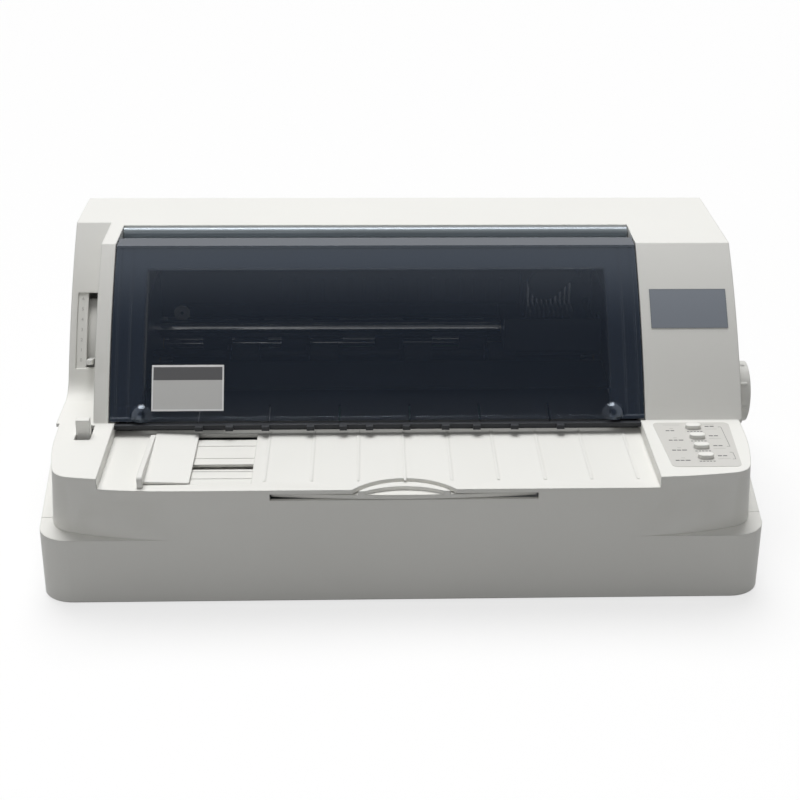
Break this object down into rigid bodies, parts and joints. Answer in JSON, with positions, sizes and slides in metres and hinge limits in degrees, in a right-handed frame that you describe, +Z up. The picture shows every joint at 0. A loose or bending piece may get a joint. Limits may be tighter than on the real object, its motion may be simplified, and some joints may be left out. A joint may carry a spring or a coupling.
{
  "type": "dot matrix printer",
  "caption": "Wide flatbed dot matrix printer with a hinged smoked cover, paper table with sliding edge guide, geared platen and feed rollers, and a carriage on a belt.",
  "frame": {"origin": "on the floor, below the centre of the case", "axes": "+X to the printer's right side as seen from the front, -Y to the front, +Z up"},
  "size_m": [0.622, 0.384, 0.238],
  "materials": {
    "casing": "fine textured warm off-white moulding",
    "smoked_cover": "smoked transparent plastic, clear and glossy",
    "black_plastic": "satin black moulding",
    "rubber_black": "matt black rubber",
    "sheet_steel": "zinc plated sheet",
    "shaft_steel": "ground and polished shaft",
    "gear_plastic": "natural white gear plastic",
    "brass": "turned bush",
    "aluminium": "cast, plain",
    "motor_metal": "dark grey motor case",
    "circuit_board": "green board",
    "label": "bare label with a white border",
    "plate_grey": "bare dark grey plate",
    "panel_film": "light grey film",
    "white_plastic": "white moulding"
  },
  "bodies": {
    "base": {"bottom_case": "casing", "carriage_motor": "motor_metal", "case_screws": "sheet_steel", "chassis_plate": "sheet_steel", "drive_belt": "rubber_black", "feed_motor": "motor_metal", "front_panel": "casing", "guide_shaft": "shaft_steel", "hinge_pins": "casing", "interface_sockets": "sheet_steel", "lower_paper_guide": "black_plastic", "main_board": "circuit_board", "name_plate": "plate_grey", "panel_board": "circuit_board", "panel_overlay": "panel_film", "paper_bar": "black_plastic", "pinch_carrier": "black_plastic", "power_inlet": "black_plastic", "power_supply": "sheet_steel", "rear_paper_guide": "black_plastic", "rear_rail": "sheet_steel", "rubber_feet": "rubber_black", "shaft_bushes": "brass", "side_frame_left": "sheet_steel", "side_frame_right": "sheet_steel", "upper_case": "casing", "upper_paper_guide": "black_plastic"},
    "cover": {"top_cover": "smoked_cover", "cover_label": "label"},
    "platen": {"platen_shaft": "shaft_steel", "platen_rubber": "rubber_black", "platen_gear": "gear_plastic"},
    "front_roller": {"front_feed_roller": "shaft_steel", "front_roller_gear": "gear_plastic"},
    "rear_roller": {"rear_feed_roller": "shaft_steel", "rear_roller_gear": "gear_plastic"},
    "idler": {"idler_gear": "gear_plastic"},
    "knob": {"paper_feed_knob": "casing", "knob_gear": "gear_plastic"},
    "pinion": {"feed_motor_pinion": "brass"},
    "front_pinch": {"front_pinch_roller": "rubber_black"},
    "rear_pinch": {"rear_pinch_roller": "rubber_black"},
    "carriage_assembly": {"carriage": "black_plastic", "carriage_bushes": "brass", "print_head": "black_plastic", "head_heat_sink": "aluminium", "ribbon_cartridge": "black_plastic"},
    "ribbon_winder": {"ribbon_knob": "black_plastic"},
    "motor_pulley_body": {"motor_pulley": "brass"},
    "idler_pulley_body": {"idler_pulley": "gear_plastic"},
    "thickness_lever": {"paper_thickness_lever": "white_plastic"},
    "feed_lever_body": {"feed_lever": "casing"},
    "edge_guide_body": {"edge_guide": "casing"},
    "tray": {"extension_tray": "casing"},
    "button_1": {"panel_button_1": "casing"},
    "button_2": {"panel_button_2": "casing"},
    "button_3": {"panel_button_3": "casing"},
    "button_4": {"panel_button_4": "casing"},
    "rocker": {"power_rocker": "black_plastic"}
  },
  "joints": [
    {"name": "cover_hinge", "type": "hinge", "parent": "base", "child": "cover", "pos_m": [-0.02, 0.0695, 0.233], "axis": [-1, 0, 0], "range_deg": [0, 124]},
    {"name": "platen_spin", "type": "hinge", "parent": "base", "child": "platen", "pos_m": [0, 0.07599, 0.101], "axis": [1, 0, 0], "continuous": true},
    {"name": "front_roller_spin", "type": "hinge", "parent": "base", "child": "front_roller", "pos_m": [0, 0.041, 0.107], "axis": [1, 0, 0], "continuous": true},
    {"name": "rear_roller_spin", "type": "hinge", "parent": "base", "child": "rear_roller", "pos_m": [0, 0.11098, 0.107], "axis": [1, 0, 0], "continuous": true},
    {"name": "idler_spin", "type": "hinge", "parent": "base", "child": "idler", "pos_m": [0.198, 0.00964, 0.11], "axis": [1, 0, 0], "continuous": true},
    {"name": "knob_spin", "type": "hinge", "parent": "base", "child": "knob", "pos_m": [0.3035, -0.02171, 0.113], "axis": [1, 0, 0], "continuous": true},
    {"name": "pinion_spin", "type": "hinge", "parent": "base", "child": "pinion", "pos_m": [0.198, 0.00964, 0.0865], "axis": [1, 0, 0], "continuous": true},
    {"name": "front_pinch_spin", "type": "hinge", "parent": "base", "child": "front_pinch", "pos_m": [0, 0.041, 0.1257], "axis": [1, 0, 0], "continuous": true},
    {"name": "rear_pinch_spin", "type": "hinge", "parent": "base", "child": "rear_pinch", "pos_m": [0, 0.11098, 0.1239], "axis": [1, 0, 0], "continuous": true},
    {"name": "carriage_slide", "type": "slide", "parent": "base", "child": "carriage_assembly", "axis": [-1, 0, 0], "range_m": [0, 0.31]},
    {"name": "motor_pulley_spin", "type": "hinge", "parent": "base", "child": "motor_pulley_body", "pos_m": [0.166, 0.106, 0.142], "axis": [0, 1, 0], "continuous": true},
    {"name": "idler_pulley_spin", "type": "hinge", "parent": "base", "child": "idler_pulley_body", "pos_m": [-0.206, 0.106, 0.142], "axis": [0, 1, 0], "continuous": true},
    {"name": "ribbon_knob_spin", "type": "hinge", "parent": "carriage_assembly", "child": "ribbon_winder", "pos_m": [0.164, 0.081, 0.186], "axis": [0, 0, 1], "continuous": true},
    {"name": "thickness_lever_turn", "type": "hinge", "parent": "base", "child": "thickness_lever", "pos_m": [-0.2758, 0.076, 0.113], "axis": [-1, 0, 0], "range_deg": [0, 38]},
    {"name": "feed_lever_turn", "type": "hinge", "parent": "base", "child": "feed_lever_body", "pos_m": [-0.268, -0.105, 0.07], "axis": [1, 0, 0], "range_deg": [-15, 8]},
    {"name": "edge_guide_slide", "type": "slide", "parent": "base", "child": "edge_guide_body", "axis": [1, 0, 0], "range_m": [0, 0.049]},
    {"name": "tray_slide", "type": "slide", "parent": "base", "child": "tray", "axis": [0, -1, 0], "range_m": [0, 0.09]},
    {"name": "button_1_press", "type": "slide", "parent": "base", "child": "button_1", "axis": [0, 0, -1], "range_m": [0, 0.0012], "stiffness_N_per_m": 400, "springref_m": -0.0005},
    {"name": "button_2_press", "type": "slide", "parent": "base", "child": "button_2", "axis": [0, 0, -1], "range_m": [0, 0.0012], "stiffness_N_per_m": 400, "springref_m": -0.0005},
    {"name": "button_3_press", "type": "slide", "parent": "base", "child": "button_3", "axis": [0, 0, -1], "range_m": [0, 0.0012], "stiffness_N_per_m": 400, "springref_m": -0.0005},
    {"name": "button_4_press", "type": "slide", "parent": "base", "child": "button_4", "axis": [0, 0, -1], "range_m": [0, 0.0012], "stiffness_N_per_m": 400, "springref_m": -0.0005},
    {"name": "power_rocker_tilt", "type": "hinge", "parent": "base", "child": "rocker", "pos_m": [-0.2402, 0.183, 0.03], "axis": [-1, 0, 0], "range_deg": [0, 8]}
  ],
  "couplings": [
    {"joint": "front_roller_spin", "follows": "platen_spin", "ratio": -1.5357},
    {"joint": "rear_roller_spin", "follows": "platen_spin", "ratio": -1.5357},
    {"joint": "idler_spin", "follows": "platen_spin", "ratio": 1.2286},
    {"joint": "knob_spin", "follows": "platen_spin", "ratio": -1.5357},
    {"joint": "pinion_spin", "follows": "platen_spin", "ratio": -3.5833},
    {"joint": "front_pinch_spin", "follows": "platen_spin", "ratio": 1.4704},
    {"joint": "rear_pinch_spin", "follows": "platen_spin", "ratio": 1.8186},
    {"joint": "motor_pulley_spin", "follows": "carriage_slide", "rad_per_m": -163.93},
    {"joint": "idler_pulley_spin", "follows": "carriage_slide", "rad_per_m": -163.93}
  ]
}
